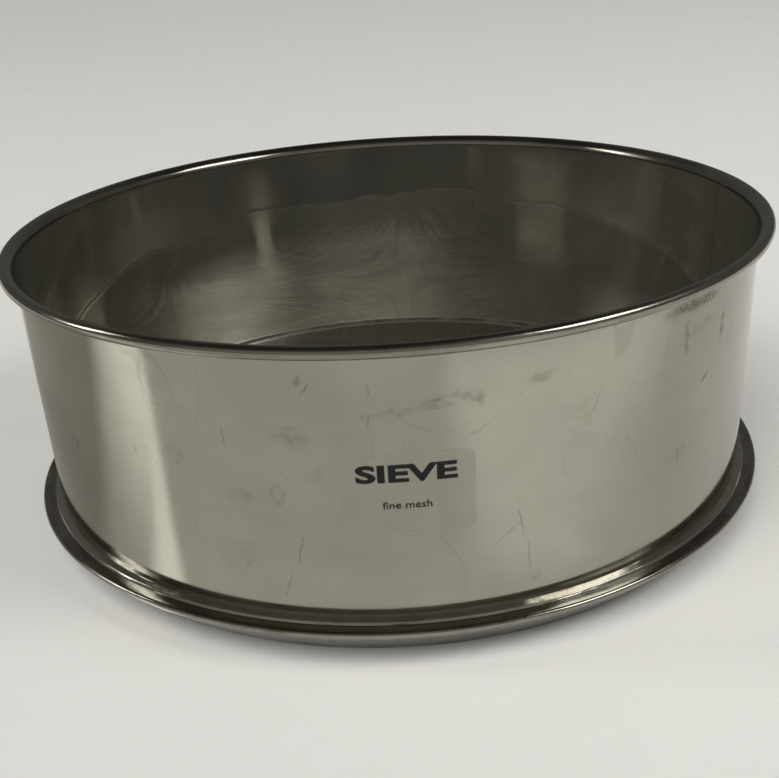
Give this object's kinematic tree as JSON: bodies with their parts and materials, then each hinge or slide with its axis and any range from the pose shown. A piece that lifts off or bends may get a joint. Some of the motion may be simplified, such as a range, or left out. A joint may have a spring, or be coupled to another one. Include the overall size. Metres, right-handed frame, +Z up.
{
  "type": "sieve strainer",
  "caption": "Round stainless drum sieve with a wired rim, a fine mesh floor on a backing mesh, and a tapered base ring that centres it in a pail mouth.",
  "frame": {"origin": "centre of the circle that the lower lip stands on", "axes": "+Z up along the axis of the drum; the label faces -Y"},
  "size_m": [0.475, 0.475, 0.177],
  "materials": {
    "drum_sheet": "bright annealed stainless, almost a mirror, with fine scratches",
    "spun_ring": "spun stainless, polished, with rubbed edges",
    "weld": "dressed weld, rippled and half bright",
    "wire": "drawn stainless wire",
    "fine_cloth": "fine woven stainless wire cloth, dull grey",
    "seal": "dark sealing compound, satin",
    "label_film": "clear adhesive film, slightly hazy"
  },
  "bodies": {
    "root": {"drum_shell": "drum_sheet", "rim_wire": "wire", "shell_seam_weld": "weld", "base_ring": "spun_ring", "base_fillet_weld": "weld", "mesh_hoop": "spun_ring", "hoop_tack_welds": "weld", "backing_mesh": "wire", "fine_mesh": "fine_cloth", "mesh_seal": "seal", "size_label": "label_film"}
  },
  "joints": []
}
